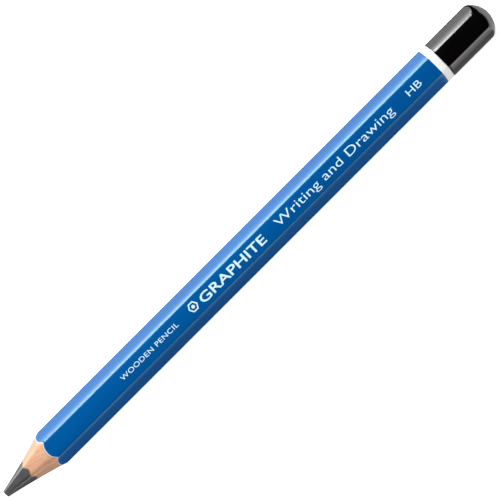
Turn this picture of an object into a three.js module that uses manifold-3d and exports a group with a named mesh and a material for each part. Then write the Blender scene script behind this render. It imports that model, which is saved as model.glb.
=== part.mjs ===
// A thick hexagonal graphite pencil: a round lead glued between two grooved wooden slats, an undercoat and a
// coat of gloss lacquer, a white ring, and a rounded black end. It is sharpened and ready to write.
//
// Millimetres. The pencil lies on one of its flats. +X runs from the writing tip to the capped end and +Z is
// up. The origin is under the middle of the pencil, on the surface that it lies on.
import * as THREE from "three";
import { mergeVertices } from "three/addons/utils/BufferGeometryUtils.js";
import Module from "manifold-3d";

const wasm = await Module();
wasm.setup();

// ---------------------------------------------------------------- Driving dimensions

const length = 175; // writing tip to the top of the rounded end
const acrossFlats = 10; // over the lacquer
const edgeRadius = 1.87; // of the barrel's six long edges, over the lacquer

const leadDiameter = 5.88;
const tipDiameter = 2.06; // of the blunted writing tip
const tipRounding = 0.2;

const pointLength = 17.05; // tip to where the sharpened point meets the barrel's long edges
const cutterRadius = 180; // the point's outline is hollow by this radius
const facetAtTip = 0.85; // share of a six-sided point in the sharpened shape: 0 is round, 1 is six-sided
const facetAtShoulder = 0.2;

const lacquerThickness = 0.12;
const undercoatThickness = 0.05;
const glueThickness = 0.06;
const bondGap = 0.02; // clearance left between bonded neighbours

const capLength = 17.6; // rounded top to the ring
const ringWidth = 2.1;
const domeHeight = 3.4; // rounded top to where the dome meets the barrel's long edges

// ---------------------------------------------------------------- How finely curves are cut

const aroundSegments = 72;
const edgeSegments = 3; // per half of a long edge's arc
const pointSegments = 10;
const domeSegments = 9;
const roundingSegments = 3;
const weld = 1e-4; // vertices nearer than this are one

// ---------------------------------------------------------------- Sizes that follow

const flats = 6;
const halfSector = Math.PI / flats; // from the middle of a flat to a long edge
const edgeReach = edgeDistance(acrossFlats, edgeRadius);
const domeRadius = (edgeReach ** 2 + domeHeight ** 2) / (2 * domeHeight);
const overcut = 1; // how far a cutting tool runs past what it cuts

const coatOffset = lacquerThickness + bondGap; // barrel surface down to the undercoat
const woodOffset = coatOffset + undercoatThickness + bondGap; // barrel surface down to the wood
const ringEnd = length - capLength;
const ringStart = ringEnd - ringWidth;

const leadRadius = leadDiameter / 2;
const leadGlueInside = leadRadius + bondGap;
const leadGlueOutside = leadGlueInside + glueThickness;
const grooveRadius = leadGlueOutside + bondGap;
const slatSetback = glueThickness / 2 + bondGap; // each slat's joint face, off the middle plane

/** Distance from the axis to the middle of a rounded long edge. */
function edgeDistance(flatToFlat, radius) {
  return (flatToFlat / 2 - radius) / Math.cos(halfSector) + radius;
}

// ---------------------------------------------------------------- Solids
// Solids are made with the pencil's axis on +Z and the writing tip at 0. The flats face +X, -X and every
// sixth of a turn between them.

function toSolid(geometry) {
  geometry.deleteAttribute("normal");
  geometry.deleteAttribute("uv");
  const welded = mergeVertices(geometry, weld);
  return new wasm.Manifold(
    new wasm.Mesh({
      numProp: 3,
      vertProperties: welded.attributes.position.array,
      triVerts: new Uint32Array(welded.index.array),
    }),
  );
}

function toMesh(name, solid, material) {
  const { vertProperties, triVerts } = solid.getMesh();
  const geometry = new THREE.BufferGeometry();
  geometry.setAttribute("position", new THREE.BufferAttribute(vertProperties, 3));
  geometry.setIndex(new THREE.BufferAttribute(triVerts, 1));
  const mesh = new THREE.Mesh(geometry, material);
  mesh.name = name;
  return mesh;
}

/** A hexagonal bar between two stations, inset from the barrel's surface. */
function hexBar(inset, from, to) {
  const radius = Math.max(edgeRadius - inset, bondGap);
  const centre = (acrossFlats / 2 - inset - radius) / Math.cos(halfSector);
  const outline = new THREE.Shape();
  for (let i = 0; i < flats; i++) {
    const edge = halfSector * (2 * i + 1);
    const [x, y] = [centre * Math.cos(edge), centre * Math.sin(edge)];
    outline.absarc(x, y, radius, edge - halfSector, edge + halfSector, false);
  }
  outline.closePath();
  const options = { depth: to - from, bevelEnabled: false, curveSegments: edgeSegments };
  return toSolid(new THREE.ExtrudeGeometry(outline, options).translate(0, 0, from));
}

function roundBar(radius, from, to) {
  const bar = new THREE.CylinderGeometry(radius, radius, to - from, aroundSegments);
  return toSolid(bar.rotateX(Math.PI / 2).translate(0, 0, (from + to) / 2));
}

function block(width, depth, from, to, x, y) {
  const box = new THREE.BoxGeometry(width, depth, to - from);
  return toSolid(box.translate(x, y, (from + to) / 2));
}

/** The sharpened point's radius at a station along the axis, at the long edges. */
function pointRadius(station) {
  const [run, rise] = [pointLength / 2, (edgeReach - tipDiameter / 2) / 2];
  const halfChord = Math.hypot(run, rise);
  const out = Math.sqrt(cutterRadius ** 2 - halfChord ** 2) / halfChord;
  const centreStation = run - rise * out;
  const centreRadius = tipDiameter / 2 + rise + run * out;
  return centreRadius - Math.sqrt(cutterRadius ** 2 - (station - centreStation) ** 2);
}

/** The station where the hollow outline, carried on past the long edges, reaches a radius. */
function pointStation(radius) {
  let [near, far] = [0, 4 * pointLength];
  for (let i = 0; i < 40; i++) {
    const middle = (near + far) / 2;
    [near, far] = pointRadius(middle) < radius ? [middle, far] : [near, middle];
  }
  return (near + far) / 2;
}

/** How much nearer to the axis the sharpened shape is at an angle than it is at the long edges. */
function facetScale(station, angle) {
  const along = Math.min(station / pointLength, 1);
  const share = facetAtTip + (facetAtShoulder - facetAtTip) * along;
  const sector = 2 * halfSector;
  const fromFlat = angle - sector * Math.round(angle / sector);
  return 1 - share * (1 - Math.cos(halfSector) / Math.cos(fromFlat));
}

/** Everything that the sharpener leaves: a blunted tip, the hollow point, and all of the barrel behind it. */
function sharpenedShape() {
  const corner = pointRadius(tipRounding) - tipRounding;
  const profile = [new THREE.Vector2(0, 0)];
  for (let i = 0; i <= roundingSegments; i++) {
    const turn = (i / roundingSegments) * (Math.PI / 2);
    const [out, along] = [tipRounding * Math.sin(turn), tipRounding * (1 - Math.cos(turn))];
    profile.push(new THREE.Vector2(corner + out, along));
  }
  const clear = edgeReach + overcut;
  const run = pointStation(clear) - tipRounding;
  for (let i = 1; i <= pointSegments; i++) {
    const station = tipRounding + (run * i) / pointSegments;
    profile.push(new THREE.Vector2(pointRadius(station), station));
  }
  profile.push(new THREE.Vector2(clear, length + overcut));
  profile.push(new THREE.Vector2(0, length + overcut));
  const turned = new THREE.LatheGeometry(profile, aroundSegments).rotateX(Math.PI / 2);
  const place = turned.attributes.position;
  for (let i = 0; i < place.count; i++) {
    const [x, y, z] = [place.getX(i), place.getY(i), place.getZ(i)];
    const scale = facetScale(z, Math.atan2(y, x));
    place.setXY(i, x * scale, y * scale);
  }
  return toSolid(turned);
}

/** Everything inside the rounded end, or inside a surface inset from it. */
function domedShape(inset) {
  const radius = domeRadius - inset;
  const profile = [new THREE.Vector2(0, -overcut), new THREE.Vector2(radius, -overcut)];
  for (let i = 0; i < domeSegments; i++) {
    const turn = (i / domeSegments) * (Math.PI / 2);
    const station = length - domeRadius + radius * Math.sin(turn);
    profile.push(new THREE.Vector2(radius * Math.cos(turn), station));
  }
  profile.push(new THREE.Vector2(0, length - inset));
  return toSolid(new THREE.LatheGeometry(profile, aroundSegments).rotateX(Math.PI / 2));
}

// ---------------------------------------------------------------- Pieces

const sharpened = sharpenedShape();
const core = sharpened.intersect(domedShape(coatOffset)); // all that the coats cover, and the point
const groove = roundBar(grooveRadius, -overcut, length + overcut);

function lead() {
  return roundBar(leadRadius, -overcut, length).intersect(core);
}

function leadGlue() {
  const outside = roundBar(leadGlueOutside, -overcut, length);
  return outside.subtract(roundBar(leadGlueInside, -2 * overcut, length + overcut)).intersect(core);
}

/** The part of the wood's outline, beside the lead, that a cutter holds. */
function besideLead(cutter) {
  return hexBar(woodOffset, 0, length).intersect(cutter).subtract(groove).intersect(core);
}

/** One grooved half of the wood. Side 1 faces +X and side -1 faces -X. */
function slat(side) {
  const x = side * (slatSetback + acrossFlats / 2);
  return besideLead(block(acrossFlats, 2 * acrossFlats, -overcut, length + overcut, x, 0));
}

/** The glue between the slats, beside the lead. Side 1 is +Y and side -1 is -Y. */
function seamGlue(side) {
  const y = (side * acrossFlats) / 2;
  return besideLead(block(glueThickness, acrossFlats, -overcut, length + overcut, 0, y));
}

/** A coat on the barrel from one station to another, between two insets. */
function coat(outside, inside, from, to) {
  return hexBar(outside, from, to).subtract(hexBar(inside, from - overcut, to + overcut));
}

function undercoat() {
  return coat(coatOffset, coatOffset + undercoatThickness, 0, length).intersect(core);
}

function lacquer() {
  return coat(0, lacquerThickness, 0, ringStart - bondGap).intersect(sharpened);
}

function ring() {
  return coat(0, lacquerThickness, ringStart, ringEnd);
}

function cap() {
  const from = ringEnd + bondGap;
  const hollow = hexBar(lacquerThickness, from - overcut, length).intersect(domedShape(lacquerThickness));
  return hexBar(0, from, length).intersect(domedShape(0)).subtract(hollow);
}

// ---------------------------------------------------------------- Materials

function material(color, roughness, metalness) {
  return new THREE.MeshStandardMaterial({ color, roughness, metalness });
}

const graphite = material(0x45464a, 0.38, 0.55);
const wood = material(0xe4b28c, 0.72, 0);
const glue = material(0xd9c39a, 0.5, 0);
const undercoatPaint = material(0xe9ebe8, 0.6, 0);
const bluePaint = material(0x025aa4, 0.16, 0);
const whitePaint = material(0xf2f4f1, 0.22, 0);
const blackPaint = material(0x0a0a0b, 0.14, 0);

// ---------------------------------------------------------------- Assembly

const pencil = new THREE.Group();
pencil.add(
  toMesh("graphite_lead", lead(), graphite),
  toMesh("lead_glue_sleeve", leadGlue(), glue),
  toMesh("upper_slat", slat(-1), wood),
  toMesh("lower_slat", slat(1), wood),
  toMesh("back_seam_glue", seamGlue(1), glue),
  toMesh("front_seam_glue", seamGlue(-1), glue),
  toMesh("undercoat", undercoat(), undercoatPaint),
  toMesh("blue_lacquer", lacquer(), bluePaint),
  toMesh("white_ring", ring(), whitePaint),
  toMesh("end_cap", cap(), blackPaint),
);
pencil.rotation.y = Math.PI / 2; // the axis from +Z to +X, and the -X flat up
pencil.position.set(-length / 2, 0, acrossFlats / 2);

const model = new THREE.Group();
model.add(pencil);

export default model;
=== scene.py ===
import math

import bmesh
import bpy
import numpy as np
from mathutils import Matrix, Vector


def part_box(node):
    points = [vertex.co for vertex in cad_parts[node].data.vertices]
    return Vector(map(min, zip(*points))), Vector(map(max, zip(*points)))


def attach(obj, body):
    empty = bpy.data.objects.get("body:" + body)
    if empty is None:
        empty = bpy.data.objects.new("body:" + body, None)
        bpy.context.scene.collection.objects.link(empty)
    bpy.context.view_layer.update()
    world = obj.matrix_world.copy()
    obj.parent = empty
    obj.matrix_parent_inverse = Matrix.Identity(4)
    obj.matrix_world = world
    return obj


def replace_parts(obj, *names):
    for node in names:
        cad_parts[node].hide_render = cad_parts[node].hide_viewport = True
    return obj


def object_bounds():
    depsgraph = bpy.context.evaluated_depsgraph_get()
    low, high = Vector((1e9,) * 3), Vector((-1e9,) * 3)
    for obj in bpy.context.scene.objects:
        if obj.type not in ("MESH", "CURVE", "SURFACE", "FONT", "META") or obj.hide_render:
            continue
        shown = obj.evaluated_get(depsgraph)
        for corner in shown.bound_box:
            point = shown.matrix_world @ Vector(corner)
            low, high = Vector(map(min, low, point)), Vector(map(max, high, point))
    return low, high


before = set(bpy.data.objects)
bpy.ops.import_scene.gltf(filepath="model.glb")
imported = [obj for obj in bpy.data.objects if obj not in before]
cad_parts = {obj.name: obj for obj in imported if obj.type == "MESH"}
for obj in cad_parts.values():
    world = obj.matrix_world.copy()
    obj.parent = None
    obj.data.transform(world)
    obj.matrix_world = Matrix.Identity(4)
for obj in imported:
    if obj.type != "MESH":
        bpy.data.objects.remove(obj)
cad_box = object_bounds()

# A thick hexagonal graphite pencil that lies on one of its flats. Metres. +X runs from the writing tip to
# the capped end and +Z is up. Stations are distances from the tip along the axis. Angles round the axis are
# from straight up, towards +Y.

MM = 0.001

# ---------------------------------------------------------------- Sizes, from the frame

TIP_X = cad_box[0].x
LENGTH = cad_box[1].x - TIP_X
AXIS_Z = (cad_box[0].z + cad_box[1].z) / 2
FLAT_REACH = cad_box[1].z - AXIS_Z  # axis to the middle of a flat
EDGE_REACH = cad_box[1].y  # axis to a long edge
LEAD_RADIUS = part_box("graphite_lead")[1].y
GLUE_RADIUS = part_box("lead_glue_sleeve")[1].y
RING_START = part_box("white_ring")[0].x - TIP_X
RING_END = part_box("white_ring")[1].x - TIP_X
CAP_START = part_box("end_cap")[0].x - TIP_X
LACQUER_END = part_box("blue_lacquer")[1].x - TIP_X
UNDERCOAT_INSET = FLAT_REACH - (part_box("undercoat")[1].z - AXIS_Z)
WOOD_INSET = FLAT_REACH - (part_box("upper_slat")[1].z - AXIS_Z)
SLAT_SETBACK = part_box("upper_slat")[0].z - AXIS_Z

GAP = 0.02 * MM  # between bonded neighbours
LACQUER = UNDERCOAT_INSET - GAP
UNDERCOAT = WOOD_INSET - UNDERCOAT_INSET - GAP
GROOVE_RADIUS = GLUE_RADIUS + GAP

# The barrel: slightly crowned flats that run smoothly into round long edges
SIDES = 6
HALF_SECTOR = math.pi / SIDES
EDGE_ARC = 1.0 * MM
EDGE_CENTRE = EDGE_REACH - EDGE_ARC  # axis to the centre of an edge's arc
EDGE_OUT = EDGE_CENTRE * math.cos(HALF_SECTOR)  # its part towards the middle of a flat
EDGE_ACROSS = EDGE_CENTRE * math.sin(HALF_SECTOR)  # and its part along that flat
CROWN_RADIUS = (FLAT_REACH**2 + EDGE_CENTRE**2 - EDGE_ARC**2 - 2 * FLAT_REACH * EDGE_OUT) / (
    2 * (FLAT_REACH - EDGE_ARC - EDGE_OUT)
)
CROWN_BACK = CROWN_RADIUS - FLAT_REACH  # from the axis back to the centre of a flat's arc
CROWN_HALF_TURN = math.atan2(EDGE_ACROSS, CROWN_BACK + EDGE_OUT)
EDGE_BEGINS = math.atan2(  # the angle where a flat's arc becomes an edge's
    CROWN_RADIUS * math.sin(CROWN_HALF_TURN), CROWN_RADIUS * math.cos(CROWN_HALF_TURN) - CROWN_BACK
)

# The sharpened point: a hollow cone with soft facets that run on from the flats
POINT_LENGTH = 17.05 * MM  # tip to where it meets the long edges
TIP_RADIUS = 1.03 * MM
TIP_ROUNDING = 0.2 * MM
TIP_WEAR = 0.01 * MM  # hollow in the middle of the blunt tip
CUTTER_RADIUS = 180 * MM  # of the point's hollow outline
FACET_AT_TIP = 0.7  # share of a six-sided point: 0 is round, 1 is six-sided
FACET_AT_SHOULDER = 0.2
FACET_SOFTNESS = 0.9  # 0 is flat facets that meet in lines, 1 is one smooth wave
FACET_TURN = math.radians(8.5)  # of the point's facets at the tip, off the barrel's flats

# The rounded end
DOME_HEIGHT = 3.2 * MM  # apex to where it meets the long edges
DOME_RADIUS = (EDGE_REACH**2 + DOME_HEIGHT**2) / (2 * DOME_HEIGHT)
DOME_CENTRE = LENGTH - DOME_RADIUS
DOME_BLEND = 0.35 * MM  # how gradually the flats run into it

# How the meshes are divided
POINT_ROWS = 36
LEAD_POINT_ROWS = 48
BARREL_ROWS = 10
DOME_ROWS = 10
CAP_ROWS = 8
CAP_DOME_ROWS = 56
CAP_INSIDE_ROWS = 24
# Shares of the way from the sharpener's cut to a coat's far rim
COAT_SHARES = (0.0, 0.002, 0.006, 0.015, 0.03, 0.06, 0.12, 0.25, 0.4, 0.55, 0.7, 0.85)

QUARTER = math.pi / 2
RIM_SHARE = 0.4  # a coat's rim is rounded by this share of its thickness
RIM_MIDDLE = 0.3  # where the rounding's middle row lies, as a share of the rounding
WELD = 1e-8  # vertices nearer than this are one

# ---------------------------------------------------------------- The pencil's surfaces, as formulas


def folded(angle):
    """The angle from the middle of the nearest flat."""
    return (angle + HALF_SECTOR) % (2 * HALF_SECTOR) - HALF_SECTOR


def barrel_radius(angle, inset=0.0):
    """Distance from the axis to the barrel's surface, or to a surface inset from it."""
    from_flat = np.abs(folded(angle))
    crown = CROWN_RADIUS - inset
    back = CROWN_BACK * np.cos(from_flat)
    on_crown = np.sqrt(back**2 + crown**2 - CROWN_BACK**2) - back
    from_edge = from_flat - HALF_SECTOR
    arc = EDGE_ARC - inset
    across = np.minimum(np.abs(EDGE_CENTRE * np.sin(from_edge)), arc)
    on_edge = EDGE_CENTRE * np.cos(from_edge) + np.sqrt(arc**2 - across**2)
    return np.where(from_flat < EDGE_BEGINS, on_crown, on_edge)


def point_radius(station):
    """The sharpened point's radius at the long edges: an arc through the tip's rim and the shoulder."""
    run, rise = POINT_LENGTH / 2, (EDGE_REACH - TIP_RADIUS) / 2
    half_chord = math.hypot(run, rise)
    out = math.sqrt(CUTTER_RADIUS**2 - half_chord**2) / half_chord
    centre_station = run - rise * out
    centre_radius = TIP_RADIUS + rise + run * out
    return centre_radius - np.sqrt(CUTTER_RADIUS**2 - (station - centre_station) ** 2)


def sharpened_radius(station, angle):
    """Distance from the axis to the point's surface, between a round cone and a six-sided one."""
    along = np.clip(station / POINT_LENGTH, 0, 1)
    share = FACET_AT_TIP + (FACET_AT_SHOULDER - FACET_AT_TIP) * along
    turned = angle - FACET_TURN * (1 - along**3)
    most = 1 - math.cos(HALF_SECTOR)
    crisp = 1 - math.cos(HALF_SECTOR) / np.cos(folded(turned))
    soft = most * (1 + np.cos(SIDES * turned)) / 2
    flatness = crisp + (soft - crisp) * FACET_SOFTNESS
    return point_radius(station) * (1 - share * flatness)


def cut_station(radius, angle):
    """Where the sharpened point reaches a radius, at each angle."""
    near, far = np.zeros_like(angle), np.full_like(angle, 2 * POINT_LENGTH)
    for _ in range(40):  # halvings
        middle = (near + far) / 2
        inside = sharpened_radius(middle, angle) < radius
        near, far = np.where(inside, middle, near), np.where(inside, far, middle)
    return (near + far) / 2


def rounded_end(turn, angle, inset=0.0):
    """(station, radius) where the flats run softly into the dome. turn is the angle off the axis, seen from
    the dome's centre."""
    sphere = DOME_RADIUS - inset
    wall = barrel_radius(angle, inset) / max(math.sin(turn), 1e-3)
    overlap = np.clip(DOME_BLEND - np.abs(sphere - wall), 0, None) / DOME_BLEND
    reach = np.minimum(sphere, wall) - overlap**2 * DOME_BLEND / 4
    return DOME_CENTRE + reach * math.cos(turn), reach * math.sin(turn)


def back_of_bar(radius):
    """Where a round bar comes out through the undercoat's inner dome."""
    return DOME_CENTRE + math.sqrt((DOME_RADIUS - UNDERCOAT_INSET) ** 2 - radius**2)


def spread(start, end, count):
    """Values from start to end, in count equal steps."""
    return [start + (end - start) * i / count for i in range(count + 1)]


def round_columns(crown_steps=16, edge_steps=12):
    """Angles all the way round, closer together on the long edges."""
    sector = 2 * HALF_SECTOR
    angles = []
    for i in range(SIDES):
        angles += [sector * i + a for a in spread(-EDGE_BEGINS, EDGE_BEGINS, crown_steps)[:-1]]
        angles += [sector * i + a for a in spread(EDGE_BEGINS, sector - EDGE_BEGINS, edge_steps)[:-1]]
    return np.array(angles)


COLUMNS = round_columns()

# ---------------------------------------------------------------- Meshes


def add_object(name, work, material):
    """An object in the scene from a bmesh, which is freed."""
    mesh = bpy.data.meshes.new(name)
    work.to_mesh(mesh)
    work.free()
    mesh.materials.append(material)
    made = bpy.data.objects.new(name, mesh)
    bpy.context.scene.collection.objects.link(made)
    return made


def finish_mesh(name, work, material, sharp_degrees=38):
    """An object from a bmesh, smooth up to an angle between faces, that rides on the pencil's one body."""
    bmesh.ops.remove_doubles(work, verts=work.verts, dist=WELD)
    bmesh.ops.recalc_face_normals(work, faces=work.faces)
    limit = math.radians(sharp_degrees)
    for face in work.faces:
        face.smooth = True
    for edge in work.edges:
        if len(edge.link_faces) == 2:
            edge.smooth = edge.calc_face_angle(0) < limit
    piece = add_object(name, work, material)
    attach(piece, "root")
    return piece


def place(station, radius, angle):
    """A point in the frame, from its place along and round the pencil's axis."""
    return TIP_X + station, radius * math.sin(angle), AXIS_Z + radius * math.cos(angle)


def swept(profile, angles, closed_round=True, above=None, below=None):
    """A solid swept round the axis. profile is a closed outline, as (station, radius) rows over the angles.
    Where closed_round is False, it stops at the first and last angles. above and below limit its height."""
    work = bmesh.new()
    rows = []
    for stations, radii in profile:
        stations, radii = np.broadcast_to(stations, angles.shape), np.broadcast_to(radii, angles.shape)
        row = []
        for station, radius, angle in zip(stations, radii, angles):
            x, y, z = place(float(station), float(radius), float(angle))
            if above is not None:
                z = max(z, above)
            if below is not None:
                z = min(z, below)
            row.append(work.verts.new((x, y, z)))
        rows.append(row)
    count = len(angles)
    for i, row in enumerate(rows):
        following = rows[(i + 1) % len(rows)]
        for j in range(count if closed_round else count - 1):
            k = (j + 1) % count
            work.faces.new((row[j], row[k], following[k], following[j]))
    if not closed_round:
        work.faces.new([row[0] for row in rows])
        work.faces.new([row[-1] for row in rows])
    return work


def between(first, second, steps):
    """Rows of a profile from one (station, radius) to another, without the last."""
    rows = []
    for i in range(steps):
        share = i / steps
        rows.append(tuple(a + (b - a) * share for a, b in zip(first, second)))
    return rows


def along_cut(from_station, to_station, angles, steps):
    """Rows on the sharpened surface from one station to another, without the last."""
    stations = spread(from_station, to_station, steps)[:-1]
    return [(station, sharpened_radius(station, angles)) for station in stations]


def rounded_rim(station, radius, thickness, inward):
    """Rows round a coat's rim, from its end to its surface. inward is 1 where the coat lies towards +X of
    the rim, and -1 where it lies towards -X."""
    soft = RIM_SHARE * thickness
    middle = RIM_MIDDLE * soft
    return [
        (station, radius - soft),
        (station + inward * middle, radius - middle),
        (station + inward * soft, radius),
    ]


# ---------------------------------------------------------------- Material nodes


class Nodes:
    """A short way to write a node tree."""

    def __init__(self, tree):
        self.tree = tree

    def add(self, kind, **settings):
        node = self.tree.nodes.new(kind)
        for key, value in settings.items():
            setattr(node, key, value)
        return node

    def link(self, output, target):
        self.tree.links.new(output, target)

    def put(self, value, socket):
        if isinstance(value, bpy.types.NodeSocket):
            self.link(value, socket)
        else:
            socket.default_value = value

    def math(self, operation, a, b=0.0, c=0.0):
        node = self.add("ShaderNodeMath", operation=operation)
        for value, socket in zip((a, b, c), node.inputs):
            self.put(value, socket)
        return node.outputs[0]


class Material(Nodes):
    """The same for a material. Sizes of noise are in cells per millimetre, along and across the pencil."""

    def __init__(self, name):
        self.material = bpy.data.materials.new(name)
        self.material.use_nodes = True
        super().__init__(self.material.node_tree)
        self.shader = self.tree.nodes["Principled BSDF"]
        self.where = self.add("ShaderNodeTexCoord").outputs["Object"]

    def stretched(self, per_mm_along, per_mm_across):
        """Object space, scaled."""
        node = self.add("ShaderNodeMapping")
        node.inputs["Scale"].default_value = (per_mm_along / MM, per_mm_across / MM, per_mm_across / MM)
        self.link(self.where, node.inputs["Vector"])
        return node.outputs["Vector"]

    def noise(self, along, across, detail=3.0, rough=0.55, distortion=0.0):
        node = self.add("ShaderNodeTexNoise")
        self.link(self.stretched(along, across), node.inputs["Vector"])
        node.inputs["Scale"].default_value = 1.0
        node.inputs["Detail"].default_value = detail
        node.inputs["Roughness"].default_value = rough
        node.inputs["Distortion"].default_value = distortion
        return node.outputs["Fac"]

    def remap(self, value, low, high, to_low=0.0, to_high=1.0):
        """value, with low to high stretched to to_low to to_high, and clamped there."""
        node = self.add("ShaderNodeMapRange")
        settings = (value, low, high, to_low, to_high)
        for setting, socket in zip(settings, node.inputs):
            self.put(setting, socket)
        return node.outputs[0]

    def mix(self, share, a, b):
        """Colour a, turning to b as share goes from 0 to 1."""
        node = self.add("ShaderNodeMix", data_type="RGBA")
        self.put(share, node.inputs[0])
        for value, socket in ((a, node.inputs[6]), (b, node.inputs[7])):
            self.put(value if isinstance(value, bpy.types.NodeSocket) else (*value, 1.0), socket)
        return node.outputs[2]

    def bump(self, height, depth_mm, strength=1.0, under=None):
        node = self.add("ShaderNodeBump")
        node.inputs["Strength"].default_value = strength
        node.inputs["Distance"].default_value = depth_mm * MM
        self.link(height, node.inputs["Height"])
        if under is not None:
            self.link(under, node.inputs["Normal"])
        return node.outputs["Normal"]

    def finish(self, colour, roughness, normal=None, **fixed):
        """Links the shader. fixed gives its sockets that are the same all over, with _ for a space."""
        self.put(colour, self.shader.inputs["Base Color"])
        self.put(roughness, self.shader.inputs["Roughness"])
        if normal is not None:
            self.link(normal, self.shader.inputs["Normal"])
        for key, value in fixed.items():
            self.shader.inputs[key.replace("_", " ")].default_value = value
        return self.material


def gloss_paint(name, colour, shade, roughness, reflectance, tint=(1, 1, 1)):
    """Dip lacquer: even colour, faint lengthwise waves from the wood below, and a fine orange peel."""
    n = Material(name)
    cloud = n.noise(0.02, 0.25, detail=2)
    fleck = n.noise(2.5, 2.5, detail=2)
    tone = n.mix(n.remap(cloud, 0.3, 0.7), colour, shade)
    tone = n.mix(n.remap(fleck, 0.35, 0.75, 0.0, 0.25), tone, shade)
    smear = n.noise(0.15, 0.8, detail=4)
    rough = n.remap(smear, 0.3, 0.7, roughness * 0.8, roughness * 1.25)
    waves = n.bump(n.noise(0.03, 0.9, detail=2), 0.012)
    peel = n.bump(n.noise(1.3, 1.3, detail=1), 0.003, under=waves)
    return n.finish(tone, rough, peel, Specular_IOR_Level=reflectance, Specular_Tint=(*tint, 1.0))


def matt_paint(name, colour, shade):
    """Undercoat: chalky and slightly uneven."""
    n = Material(name)
    tone = n.mix(n.noise(1.5, 3.0), colour, shade)
    rough = n.remap(n.noise(2.0, 2.0), 0.3, 0.7, 0.5, 0.7)
    return n.finish(tone, rough, n.bump(n.noise(4.0, 4.0), 0.006))


def wood_material(name):
    """Straight-grained pale cedar, cut by a sharpener."""
    n = Material(name)
    split = n.add("ShaderNodeSeparateXYZ")
    n.link(n.where, split.inputs[0])
    wander = n.noise(0.06, 0.35, detail=2)
    layer = n.math("MULTIPLY_ADD", split.outputs["Z"], 1.15 / MM, n.math("MULTIPLY", wander, 4.2))
    layer = n.math("MULTIPLY_ADD", split.outputs["Y"], 0.55 / MM, layer)
    ring = n.math("FRACT", layer)
    late = n.math("POWER", n.remap(ring, 0.45, 0.97), 2.2)
    tone = n.mix(late, (0.325, 0.149, 0.066), (0.260, 0.105, 0.039))
    streak = n.noise(0.12, 5.0, detail=3)
    tone = n.mix(n.remap(streak, 0.4, 0.75, 0.0, 0.5), tone, (0.200, 0.082, 0.036))
    pale = n.noise(0.25, 2.2, detail=3)
    tone = n.mix(n.remap(pale, 0.5, 0.8, 0.0, 0.55), tone, (0.365, 0.200, 0.115))
    pores = n.remap(n.noise(0.8, 14.0, detail=2), 0.64, 0.72)
    tone = n.mix(n.math("MULTIPLY", pores, 0.5), tone, (0.12, 0.045, 0.020))
    fibres = n.bump(n.noise(0.5, 12.0, detail=3), 0.03, strength=0.7)
    shavings = n.bump(n.noise(1.6, 1.2, detail=2), 0.03, strength=0.6, under=fibres)
    rough = n.remap(streak, 0.3, 0.7, 0.32, 0.44)
    fuzz = {"Specular_IOR_Level": 1.0, "Sheen_Weight": 0.2, "Sheen_Roughness": 0.4}
    return n.finish(tone, rough, shavings, **fuzz)


def graphite_material(name):
    """Graphite polished by the sharpener: a grey sheen with lengthwise and turning marks."""
    n = Material(name)
    cloud = n.noise(0.6, 1.2, detail=4)
    streak = n.noise(0.25, 9.0, detail=3)
    turning = n.noise(7.0, 0.5, detail=2)
    tone = n.mix(n.remap(cloud, 0.3, 0.7), (0.007, 0.007, 0.009), (0.014, 0.014, 0.016))
    tone = n.mix(n.remap(streak, 0.45, 0.8, 0.0, 0.6), tone, (0.004, 0.004, 0.005))
    speck = n.remap(n.noise(9.0, 9.0, detail=1), 0.66, 0.74)
    tone = n.mix(n.math("MULTIPLY", speck, 0.4), tone, (0.07, 0.07, 0.08))
    rough = n.remap(n.math("ADD", streak, cloud), 0.6, 1.4, 0.27, 0.34)
    marks = n.bump(turning, 0.012, strength=0.4)
    marks = n.bump(streak, 0.010, strength=0.6, under=marks)
    return n.finish(tone, rough, marks, IOR=1.85)


def glue_material(name):
    """Dried glue, stained by the wood."""
    n = Material(name)
    tone = n.mix(n.noise(1.0, 4.0), (0.30, 0.15, 0.075), (0.22, 0.10, 0.045))
    rough = n.remap(n.noise(2.0, 2.0), 0.3, 0.7, 0.35, 0.6)
    return n.finish(tone, rough, n.bump(n.noise(3.0, 6.0), 0.01))


def foil_material(name):
    """Hot-stamped foil: pale and a little worn."""
    n = Material(name)
    worn = n.remap(n.noise(5.0, 5.0, detail=3), 0.56, 0.72, 0.0, 0.35)
    tone = n.mix(worn, (0.40, 0.56, 0.64), (0.27, 0.42, 0.50))
    rough = n.remap(n.noise(3.0, 3.0), 0.3, 0.7, 0.25, 0.42)
    return n.finish(tone, rough, n.bump(n.noise(6.0, 6.0), 0.003))


GRAPHITE = graphite_material("graphite")
WOOD = wood_material("cedar")
UNDERCOAT_PAINT = matt_paint("undercoat", (0.35, 0.39, 0.41), (0.28, 0.33, 0.36))
BLUE = gloss_paint(
    "blue_lacquer",
    colour=(0.0003, 0.0620, 0.214),
    shade=(0.0002, 0.052, 0.188),
    roughness=0.12,
    reflectance=0.45,
    tint=(0.6, 1.0, 1.0),
)
WHITE = gloss_paint(
    "white_lacquer",
    colour=(0.61, 0.61, 0.60),
    shade=(0.57, 0.575, 0.57),
    roughness=0.2,
    reflectance=0.5,
)
BLACK = gloss_paint(
    "black_lacquer",
    colour=(0.0016, 0.0012, 0.0011),
    shade=(0.001, 0.0008, 0.0008),
    roughness=0.11,
    reflectance=0.65,
)
FOIL = foil_material("stamped_foil")
GLUE = glue_material("dried_glue")

# ---------------------------------------------------------------- The lead and the wood


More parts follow.
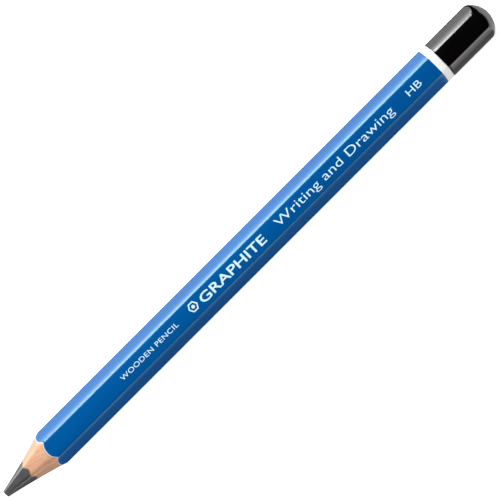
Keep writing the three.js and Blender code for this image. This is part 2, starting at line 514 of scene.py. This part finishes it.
def make_lead():
    """The lead's whole length: worn flat tip, faceted cone, cylinder, and the end under the cap."""
    rim = float(point_radius(TIP_ROUNDING)) - TIP_ROUNDING
    facet = sharpened_radius(0.0, COLUMNS) / float(point_radius(0.0))
    rows = [(TIP_WEAR, 0.0)]
    for share in (0.25, 0.5, 0.75, 0.92):
        rows.append((TIP_WEAR * (1 - share**2), rim * share * facet))
    for turn in spread(0, QUARTER, 5):
        out, along = TIP_ROUNDING * math.sin(turn), TIP_ROUNDING * (1 - math.cos(turn))
        rows.append((along, (rim + out) * facet))
    ends, back = cut_station(LEAD_RADIUS, COLUMNS), back_of_bar(LEAD_RADIUS)
    apex = LENGTH - UNDERCOAT_INSET
    rows += along_cut(TIP_ROUNDING, ends, COLUMNS, LEAD_POINT_ROWS)[1:]
    rows += between((ends, LEAD_RADIUS), (back, LEAD_RADIUS), BARREL_ROWS + 2)
    rows += between((back, LEAD_RADIUS), (apex, 0.0), 4) + [(apex, 0.0)]
    piece = finish_mesh("sharpened_lead", swept(rows, COLUMNS), GRAPHITE)
    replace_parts(piece, "graphite_lead")


def beside_lead(angles):
    """The wood's section beside the lead, from the sharpened cone to the rounded end."""
    groove, outline = GROOVE_RADIUS, barrel_radius(angles, WOOD_INSET)
    first, last = cut_station(groove, angles), cut_station(outline, angles)
    rows = along_cut(first, last, angles, POINT_ROWS)
    rows += between((last, outline), rounded_end(QUARTER, angles, WOOD_INSET), BARREL_ROWS)
    at_groove = math.asin(groove / (DOME_RADIUS - WOOD_INSET))
    rows += [rounded_end(turn, angles, WOOD_INSET) for turn in spread(QUARTER, at_groove, DOME_ROWS)]
    return rows + between(rows[-1], (first, groove), BARREL_ROWS)[1:]


def make_slat(name, node, side):
    """One grooved half of the wood. side is 1 for the upper one and -1 for the lower."""
    inner = COLUMNS[(COLUMNS > QUARTER) & (COLUMNS < 3 * QUARTER)] - 2 * QUARTER
    angles = np.concatenate(([-QUARTER], inner, [QUARTER]))
    if side < 0:
        angles = angles + 2 * QUARTER
    level = AXIS_Z + side * SLAT_SETBACK
    limits = {"above": level} if side > 0 else {"below": level}
    work = swept(beside_lead(angles), angles, closed_round=False, **limits)
    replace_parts(finish_mesh(name, work, WOOD), node)


def make_seam_glue(name, node, side):
    """The glue between the slats, beside the lead. side is 1 for +Y and -1 for -Y."""
    angles = side * np.array([math.radians(a) for a in (88, 90, 92)])
    half = SLAT_SETBACK - GAP
    limits = {"above": AXIS_Z - half, "below": AXIS_Z + half}
    work = swept(beside_lead(angles), angles, closed_round=False, **limits)
    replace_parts(finish_mesh(name, work, GLUE), node)


def make_glue_sleeve():
    """The glue round the lead: a hairline where the sharpener has cut it."""
    inside, outside = LEAD_RADIUS + GAP, GLUE_RADIUS
    first, last = cut_station(inside, COLUMNS), cut_station(outside, COLUMNS)
    back = back_of_bar(GLUE_RADIUS)
    rows = along_cut(first, last, COLUMNS, 3)
    rows += between((last, outside), (back, outside), BARREL_ROWS)
    rows += [(back, outside)] + between((back, inside), (first, inside), BARREL_ROWS)
    piece = finish_mesh("lead_glue_film", swept(rows, COLUMNS), GLUE)
    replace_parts(piece, "lead_glue_sleeve")


make_lead()
make_slat("upper_cedar_slat", "upper_slat", 1)
make_slat("lower_cedar_slat", "lower_slat", -1)
make_glue_sleeve()
make_seam_glue("back_seam_film", "back_seam_glue", 1)
make_seam_glue("front_seam_film", "front_seam_glue", -1)

# ---------------------------------------------------------------- The coats


def scalloped_coat(name, node, inset, thickness, end, material):
    """A coat on the barrel that the sharpener has cut back in six scallops. inset is from the barrel's
    surface to the coat's."""
    outside, inside = barrel_radius(COLUMNS, inset), barrel_radius(COLUMNS, inset + thickness)
    outer_cut, inner_cut = cut_station(outside, COLUMNS), cut_station(inside, COLUMNS)
    rows = along_cut(inner_cut, outer_cut, COLUMNS, 3)
    rows += [(outer_cut + (end - outer_cut) * share, outside) for share in COAT_SHARES]
    rows += reversed(rounded_rim(end, outside, thickness, -1))
    rows += between((end, inside), (inner_cut, inside), CAP_ROWS)
    piece = finish_mesh(name, swept(rows, COLUMNS), material, sharp_degrees=8)
    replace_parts(piece, node)


def make_ring():
    """The white band: a short sleeve with softly rounded rims."""
    outside, inside = barrel_radius(COLUMNS), barrel_radius(COLUMNS, LACQUER)
    near = rounded_rim(RING_START, outside, LACQUER, 1)
    far = rounded_rim(RING_END, outside, LACQUER, -1)
    rows = near + between(near[-1], far[-1], 6)[1:] + far[::-1]
    rows += [(RING_END, inside), (RING_START, inside)]
    piece = finish_mesh("white_band", swept(rows, COLUMNS), WHITE)
    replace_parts(piece, "white_ring")


def make_cap():
    """The dipped end: a thin cup whose flats run softly into a dome."""
    rows = rounded_rim(CAP_START, barrel_radius(COLUMNS), LACQUER, 1)
    rows += between(rows[-1], rounded_end(QUARTER, COLUMNS), CAP_ROWS)[1:]
    rows += [rounded_end(turn, COLUMNS) for turn in spread(QUARTER, 0, CAP_DOME_ROWS)]
    rows += [rounded_end(turn, COLUMNS, LACQUER) for turn in spread(0, QUARTER, CAP_INSIDE_ROWS)]
    rows.append((CAP_START, barrel_radius(COLUMNS, LACQUER)))
    piece = finish_mesh("dipped_end", swept(rows, COLUMNS), BLACK)
    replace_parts(piece, "end_cap")


scalloped_coat(
    "undercoat_film",
    "undercoat",
    inset=UNDERCOAT_INSET,
    thickness=UNDERCOAT,
    end=DOME_CENTRE,
    material=UNDERCOAT_PAINT,
)
scalloped_coat(
    "blue_lacquer_coat",
    "blue_lacquer",
    inset=0.0,
    thickness=LACQUER,
    end=LACQUER_END,
    material=BLUE,
)
make_ring()
make_cap()

# ---------------------------------------------------------------- The imprint on the top flat

FOIL_PROUD = 0.012 * MM  # above the lacquer, and as much below
IMPRINT_STEP = 0.25 * MM  # across the flat, so that the foil follows its crown
CAPITAL = 0.729  # the built-in font's capitals, as a share of its size
EMBLEM_HOLE = 0.74  # as shares of the hexagon's size
EMBLEM_DOT = 0.16


def top_height(y):
    """Height of the crowned top flat at a distance across it."""
    return AXIS_Z - CROWN_BACK + math.sqrt(CROWN_RADIUS**2 - y * y)


def stamp(name, work):
    """Presses a flat outline, made at height 0, onto the top flat as a thin closed plate."""
    ys = [v.co.y for v in work.verts]
    low, high = min(ys), max(ys)
    level = low + IMPRINT_STEP
    while level < high:
        everything = work.verts[:] + work.edges[:] + work.faces[:]
        bmesh.ops.bisect_plane(work, geom=everything, plane_co=(0, level, 0), plane_no=(0, 1, 0))
        level += IMPRINT_STEP
    bmesh.ops.recalc_face_normals(work, faces=work.faces)
    top = bmesh.ops.extrude_face_region(work, geom=work.faces[:])["geom"]
    lifted = {item for item in top if isinstance(item, bmesh.types.BMVert)}
    for vert in work.verts:
        lift = FOIL_PROUD if vert in lifted else -FOIL_PROUD
        vert.co.z = top_height(vert.co.y) + lift
    # Extruding leaves the side faces in a different order on each run
    ordered = sorted(work.faces, key=lambda face: tuple(face.calc_center_median()))
    rank = {face: i for i, face in enumerate(ordered)}
    work.faces.sort(key=rank.get)
    finish_mesh(name, work, FOIL, sharp_degrees=25)


def lettering(name, words, start, end, baseline, tall, bold=0.0, gap=1.0):
    """Words along the pencil, between two stations. baseline is across the flat, and tall is the height of
    the capitals."""
    curve = bpy.data.curves.new(name, "FONT")
    curve.body = words
    curve.offset = bold
    curve.space_character = gap
    curve.resolution_u = 6
    maker = bpy.data.objects.new(name + "_outline", curve)
    bpy.context.scene.collection.objects.link(maker)
    shaped = maker.evaluated_get(bpy.context.evaluated_depsgraph_get())
    flat = bpy.data.meshes.new_from_object(shaped)
    bpy.data.objects.remove(maker)
    work = bmesh.new()
    work.from_mesh(flat)
    bpy.data.meshes.remove(flat)
    bpy.data.curves.remove(curve)
    bmesh.ops.remove_doubles(work, verts=work.verts, dist=1e-5)
    left, right = min(v.co.x for v in work.verts), max(v.co.x for v in work.verts)
    for vert in work.verts:
        x = start + (vert.co.x - left) / (right - left) * (end - start)
        vert.co = (TIP_X + x, baseline + vert.co.y / CAPITAL * tall, 0.0)
    stamp(name, work)


def emblem(name, station, across, size):
    """A plain hexagon with a dot in it, like a pencil's end."""
    work = bmesh.new()
    centre = Vector((TIP_X + station, across, 0))

    def loop(radius, count):
        spots = [2 * math.pi * i / count for i in range(count)]
        return [work.verts.new(centre + Vector((math.cos(a), math.sin(a), 0)) * radius) for a in spots]

    outer, inner = loop(size / 2, SIDES), loop(size / 2 * EMBLEM_HOLE, SIDES)
    for i in range(SIDES):
        k = (i + 1) % SIDES
        work.faces.new((outer[i], outer[k], inner[k], inner[i]))
    work.faces.new(loop(size * EMBLEM_DOT, 24))
    stamp(name, work)


lettering(
    "imprint_kind", "WOODEN PENCIL",
    start=42.2 * MM, end=62.3 * MM, baseline=-0.72 * MM, tall=1.35 * MM, gap=1.08,
)
emblem("imprint_hexagon", station=68.2 * MM, across=0.1 * MM, size=3.0 * MM)
lettering(
    "imprint_material", "GRAPHITE",
    start=70.7 * MM, end=93.5 * MM, baseline=-1.40 * MM, tall=2.6 * MM, bold=0.012,
)
lettering(
    "imprint_use", "Writing and Drawing",
    start=98.0 * MM, end=139.7 * MM, baseline=-1.14 * MM, tall=2.48 * MM, bold=-0.006,
)
lettering(
    "imprint_grade", "HB",
    start=145.1 * MM, end=149.7 * MM, baseline=-1.12 * MM, tall=2.0 * MM, bold=-0.004,
)

# ---------------------------------------------------------------- Floor, light and camera

# What the gloss reflects: brightness by how high the direction is, from -1 straight down to 1 straight up
SKY_KEY_SIDE = (
    (-1, 0.3), (-0.8, 0.7), (-0.59, 1.3), (-0.44, 1.7), (-0.37, 2.5),
    (-0.31, 5.0), (0.1, 7.0), (0.3, 0), (1, 0),
)
SKY_FAR_SIDE = (
    (-1, 0.04), (-0.6, 0.07), (-0.44, 0.11), (-0.36, 0.25), (-0.2, 0.85),
    (-0.05, 0.9), (0.1, 0.6), (0.2, 0), (1, 0),
)
SKY_ALONG = ((-1, 0.3), (-0.9, 0.5), (-0.6, 1.3), (-0.22, 2.0), (-0.12, 1.6), (-0.06, 0.0), (1, 0.0))
RAMP_TOP = 8.0  # more than the brightest of them
TIP_SIDE_SHARE = 0.2  # of SKY_ALONG, in directions towards the tip
SEEN_WHITE = 1.3  # what the camera sees behind everything

FLOOR_REACH = 12.0  # from its middle to a side

CARD_SLANT = 0.1  # how far a card is moved along +X, as a share of how far off it lies
CARD_BEYOND = 8 * MM  # past the rounded end
CARD_HEIGHT = 0.3 * MM

VIEW_DISTANCE = 718.5 * MM
VIEW_WIDTH = 128.304 * MM  # what the image takes in, at the pencil's axis
VIEW_ROLL = math.radians(0.8)  # off straight above, towards +Y
AIM = Vector((TIP_X + LENGTH / 2 + 1.16 * MM, 0, AXIS_Z))


def make_floor():
    """A pale floor. The gloss doesn't mirror it, but the sky's lower half."""
    n = Material("pale_floor")
    tone = n.mix(n.noise(0.004, 0.004, detail=2), (0.80, 0.80, 0.80), (0.78, 0.78, 0.78))
    n.finish(tone, 0.9, Specular_IOR_Level=0.1, Emission_Color=(1, 1, 1, 1), Emission_Strength=0.75)
    work = bmesh.new()
    bmesh.ops.create_grid(work, x_segments=8, y_segments=8, size=FLOOR_REACH)
    floor = add_object("floor", work, n.material)
    floor.visible_glossy = False


def panel(name, centre, out, wide, tall, radiance):
    """A rectangular light that shines away from the direction out, wide along X."""
    data = bpy.data.lights.new(name, "AREA")
    data.shape = "RECTANGLE"
    data.size, data.size_y = wide, tall
    data.energy = radiance * math.pi * wide * tall
    light = bpy.data.objects.new(name, data)
    across = out.cross(Vector((1, 0, 0))).normalized()
    along = across.cross(out)
    turned = Matrix((along, across, out)).transposed().to_4x4()
    light.matrix_world = Matrix.Translation(centre) @ turned
    light.visible_camera = False
    bpy.context.scene.collection.objects.link(light)


def soft_light(name, direction, distance, wide, tall, radiance):
    """A panel that faces the pencil's middle from a direction."""
    out = Vector(direction).normalized()
    panel(name, AIM + out * distance, out, wide, tall, radiance)


def cap_card(name, near, far, radiance):
    """A bounce card that lies beside the black end, from near to far off the axis on the -Y side. It is
    moved along +X, so that the camera doesn't see it in the blue."""
    shift = CARD_SLANT * (near - EDGE_REACH)
    start, end = TIP_X + RING_START + shift, TIP_X + LENGTH + shift + CARD_BEYOND
    centre = Vector(((start + end) / 2, -(near + far) / 2, CARD_HEIGHT))
    panel(name, centre, Vector((0, 0, -1)), end - start, far - near, radiance)


def off_zenith(degrees):
    """How far sideways and how far up a direction goes."""
    turn = math.radians(degrees)
    return math.sin(turn), math.cos(turn)


def make_lights():
    """A key softbox on the +Y side makes the bright edge. Fill comes from above, from the tip's side and
    from low on the -Y side, and three bounce cards lie beside the black end."""
    side, up = off_zenith(52.5)
    soft_light("key_softbox", (0, side, up), distance=1.50, wide=0.52, tall=1.89, radiance=16.0)
    side, up = off_zenith(29)
    soft_light("top_strip", (-side, 0.30, up), distance=0.80, wide=0.14, tall=0.60, radiance=1.0)
    side, up = off_zenith(70)
    soft_light("end_fill", (-side, 0.20, up), distance=1.60, wide=0.52, tall=1.60, radiance=17.5)
    side, up = off_zenith(80)
    soft_light("low_strip", (0, -side, up), distance=0.70, wide=1.40, tall=0.14, radiance=5.2)
    cap_card("cap_card_near", near=6 * MM, far=18.5 * MM, radiance=0.40)
    cap_card("cap_card_middle", near=18.5 * MM, far=28 * MM, radiance=1.1)
    cap_card("cap_card_far", near=28 * MM, far=60 * MM, radiance=2.4)


def make_sky():
    """The camera sees plain white. Reflections see a dark studio that is brighter low down, and brightest
    on the key light's side."""
    world = bpy.data.worlds.new("studio")
    bpy.context.scene.world = world
    world.use_nodes = True
    world.cycles.sampling_method = "NONE"
    n = Nodes(world.node_tree)

    split = n.add("ShaderNodeSeparateXYZ")
    n.link(n.add("ShaderNodeTexCoord").outputs["Generated"], split.inputs[0])
    x, y, z = split.outputs
    level_part = n.math("SQRT", n.math("ADD", n.math("MULTIPLY", x, x), n.math("MULTIPLY", y, y)))
    level_part = n.math("ADD", level_part, 1e-4)  # never 0
    ahead, sideways = n.math("DIVIDE", x, level_part), n.math("DIVIDE", y, level_part)
    height = n.math("MULTIPLY_ADD", z, 0.5, 0.5)  # 0 is straight down and 1 is straight up

    def ramp(stops):
        curve = n.add("ShaderNodeFloatCurve")
        n.link(height, curve.inputs["Value"])
        line = curve.mapping.curves[0]
        line.points[0].location = ((stops[0][0] + 1) / 2, stops[0][1] / RAMP_TOP)
        line.points[1].location = ((stops[-1][0] + 1) / 2, stops[-1][1] / RAMP_TOP)
        for z_part, brightness in stops[1:-1]:
            line.points.new((z_part + 1) / 2, brightness / RAMP_TOP)
        for point in line.points:
            point.handle_type = "VECTOR"
        curve.mapping.update()
        return n.math("MULTIPLY", curve.outputs[0], RAMP_TOP)

    def fade(value, start, end):
        node = n.add("ShaderNodeMapRange", interpolation_type="SMOOTHSTEP")
        n.link(value, node.inputs["Value"])
        node.inputs["From Min"].default_value = start
        node.inputs["From Max"].default_value = end
        return node.outputs[0]

    def blend(share, low, high):
        gain = n.math("SUBTRACT", high, low)
        return n.math("ADD", low, n.math("MULTIPLY", gain, share))

    beyond_end = blend(fade(ahead, -0.2, 0.1), TIP_SIDE_SHARE, 1.0)
    level = n.math("MULTIPLY", ramp(SKY_ALONG), beyond_end)
    # A dark gap between the light beyond the black end and the light on the key's side
    towards_key = n.math("ADD", sideways, n.math("MULTIPLY", z, 0.6))
    gap = n.math("MULTIPLY", fade(towards_key, 0.20, 0.28), fade(ahead, 0.0, 0.1))
    level = blend(gap, level, 0.0)
    key_side = n.math("MULTIPLY", fade(sideways, 0.75, 0.9), fade(ahead, 0.28, 0.18))
    level = blend(key_side, level, ramp(SKY_KEY_SIDE))
    level = blend(fade(sideways, -0.88, -0.96), level, ramp(SKY_FAR_SIDE))
    seen = n.add("ShaderNodeLightPath").outputs["Is Camera Ray"]
    level = blend(seen, level, SEEN_WHITE)
    background = n.tree.nodes["Background"]
    n.link(level, background.inputs["Strength"])
    background.inputs["Color"].default_value = (1, 1, 1, 1)


def make_camera():
    """Above the pencil, a little to its +Y side, and turned so that it runs from bottom left to top
    right."""
    out = Vector((0, math.sin(VIEW_ROLL), math.cos(VIEW_ROLL)))
    along = Vector((1, 0, 0))
    across = out.cross(along)
    right, up = (along - across).normalized(), (along + across).normalized()
    data = bpy.data.cameras.new("camera")
    data.lens = VIEW_DISTANCE / VIEW_WIDTH * data.sensor_width
    camera = bpy.data.objects.new("camera", data)
    turned = Matrix((right, up, out)).transposed().to_4x4()
    camera.matrix_world = Matrix.Translation(AIM + out * VIEW_DISTANCE) @ turned
    bpy.context.scene.collection.objects.link(camera)
    bpy.context.scene.camera = camera


make_floor()
make_sky()
make_camera()
make_lights()
bpy.context.scene.view_settings.view_transform = "Standard"
